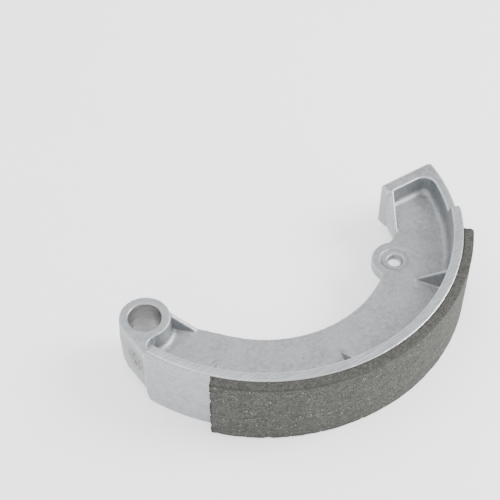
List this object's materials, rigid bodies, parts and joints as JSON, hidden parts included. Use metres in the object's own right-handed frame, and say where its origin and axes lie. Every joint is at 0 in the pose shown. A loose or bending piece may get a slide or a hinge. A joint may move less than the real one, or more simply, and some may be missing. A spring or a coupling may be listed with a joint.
{
  "type": "brake shoe",
  "caption": "Curved internal-expanding drum brake shoe: ribbed cast aluminium web and rim with a pivot eye, a spring lug and a flat cam end, and a bonded friction lining.",
  "frame": {"origin": "axis of the pivot bore, at the middle of the shoe's width", "axes": "+X from the pivot to the cam end, +Z along the pivot bore, +Y from the lining to the hub side; the cam face looks along +Y"},
  "size_m": [0.1458, 0.0755, 0.03],
  "materials": {
    "cast_aluminium": "matte as-cast skin, turned rim edges and a reamed bore",
    "adhesive": "thin dark brown cured adhesive",
    "lining": "ground moulded friction material with pale specks"
  },
  "bodies": {
    "root": {"shoe_casting": "cast_aluminium", "bond_layer": "adhesive", "friction_lining": "lining"}
  },
  "joints": []
}
